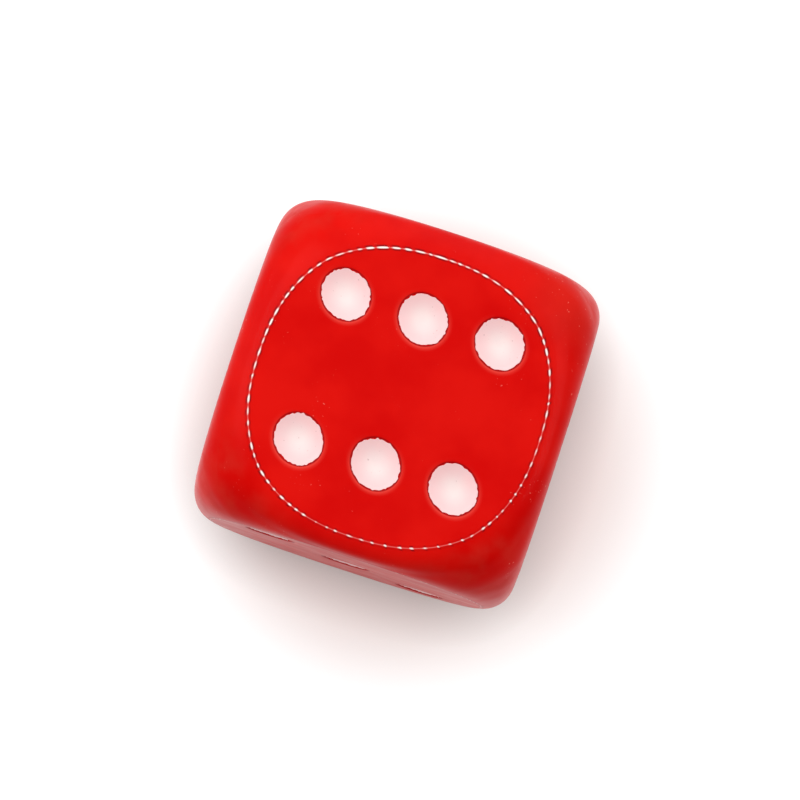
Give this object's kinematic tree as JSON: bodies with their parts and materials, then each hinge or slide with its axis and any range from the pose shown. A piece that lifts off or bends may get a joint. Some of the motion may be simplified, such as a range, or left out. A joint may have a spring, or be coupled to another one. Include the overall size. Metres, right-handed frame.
{
  "type": "six-sided die",
  "caption": "Solid moulded cube die with rounded edges and corners, flat faces and dimpled pips filled with white enamel, for rolling in games.",
  "frame": {"origin": "centre of the cube", "axes": "+Z out of the six, -Y out of the three, +X out of the two; the rows of the six run along X"},
  "size_m": [0.016, 0.016, 0.016],
  "materials": {
    "red_plastic": "polished opaque red",
    "white_enamel": "soft white enamel, slightly warm"
  },
  "bodies": {
    "root": {"die_body": "red_plastic", "pip_one_1": "white_enamel", "pip_two_1": "white_enamel", "pip_two_2": "white_enamel", "pip_three_1": "white_enamel", "pip_three_2": "white_enamel", "pip_three_3": "white_enamel", "pip_four_1": "white_enamel", "pip_four_2": "white_enamel", "pip_four_3": "white_enamel", "pip_four_4": "white_enamel", "pip_five_1": "white_enamel", "pip_five_2": "white_enamel", "pip_five_3": "white_enamel", "pip_five_4": "white_enamel", "pip_five_5": "white_enamel", "pip_six_1": "white_enamel", "pip_six_2": "white_enamel", "pip_six_3": "white_enamel", "pip_six_4": "white_enamel", "pip_six_5": "white_enamel", "pip_six_6": "white_enamel"}
  },
  "joints": []
}
